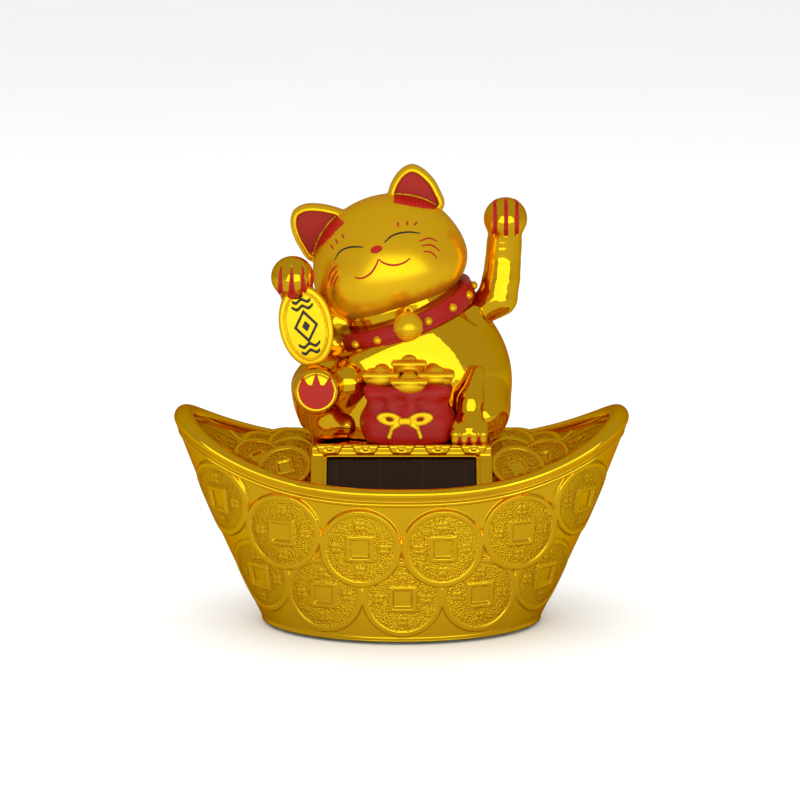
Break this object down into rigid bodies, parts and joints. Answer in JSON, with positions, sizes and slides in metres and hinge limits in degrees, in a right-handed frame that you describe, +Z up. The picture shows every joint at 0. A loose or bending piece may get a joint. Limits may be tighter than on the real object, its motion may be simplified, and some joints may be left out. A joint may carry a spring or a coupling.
{
  "type": "beckoning cat figurine",
  "caption": "Beckoning cat seated on a boat-shaped gold ingot, with a solar cell that swings its raised arm on a shaft and pendulum.",
  "frame": {"origin": "middle of the bounding box's bottom face, on the surface the feet stand on", "axes": "+Z up, -Y towards the cat's front, +X along the ingot towards the waving arm"},
  "size_m": [0.1252, 0.0672, 0.1268],
  "materials": {
    "gold_plating": "vacuum-plated gold on moulded plastic, mirror bright",
    "satin_gold": "vacuum-plated gold, satin",
    "red_lacquer": "glossy red paint",
    "black_plastic": "moulded, matt",
    "grey_plastic": "moulded, matt",
    "steel": "plain steel",
    "copper_wire": "enamelled copper winding",
    "board_green": "green solder mask",
    "cell_glass": "dark thin-film cell behind glass",
    "foot_rubber": "soft black rubber",
    "red_wire": "wire insulation",
    "black_wire": "wire insulation and sleeve"
  },
  "bodies": {
    "figurine": {"bag_bow": "gold_plating", "bag_ingots": "gold_plating", "base_plate": "black_plastic", "base_screw_1": "steel", "base_screw_2": "steel", "base_screw_3": "steel", "base_screw_4": "steel", "bell": "gold_plating", "board_screw_1": "steel", "board_screw_2": "steel", "body_back_shell": "gold_plating", "body_front_shell": "gold_plating", "capacitor": "black_wire", "cat_screw_1": "steel", "cat_screw_2": "steel", "circuit_board": "board_green", "coil_bobbin": "black_plastic", "coin_heap_left": "gold_plating", "coin_heap_right": "gold_plating", "coin_plaque": "gold_plating", "collar": "red_lacquer", "drive_coil": "copper_wire", "driver_chip": "black_plastic", "frame_screw_1": "steel", "frame_screw_2": "steel", "head_back_shell": "satin_gold", "head_front_shell": "satin_gold", "holding_arm": "gold_plating", "ingot_deck": "gold_plating", "ingot_hull": "gold_plating", "left_foot": "gold_plating", "lotus_trim": "gold_plating", "money_bag": "red_lacquer", "right_foot": "gold_plating", "rubber_foot_1": "foot_rubber", "rubber_foot_2": "foot_rubber", "rubber_foot_3": "foot_rubber", "rubber_foot_4": "foot_rubber", "solar_cell": "cell_glass", "solar_lead_black": "black_wire", "solar_lead_red": "red_wire", "swing_frame": "grey_plastic"},
    "arm": {"arm_front_shell": "gold_plating", "arm_back_shell": "gold_plating", "arm_shaft": "steel", "pendulum": "black_plastic", "pendulum_magnet": "steel"}
  },
  "joints": [
    {"name": "arm_swing", "type": "hinge", "parent": "figurine", "child": "arm", "pos_m": [0.008, 0.004, 0.0865], "axis": [1, 0, 0], "range_deg": [-15, 15]}
  ]
}
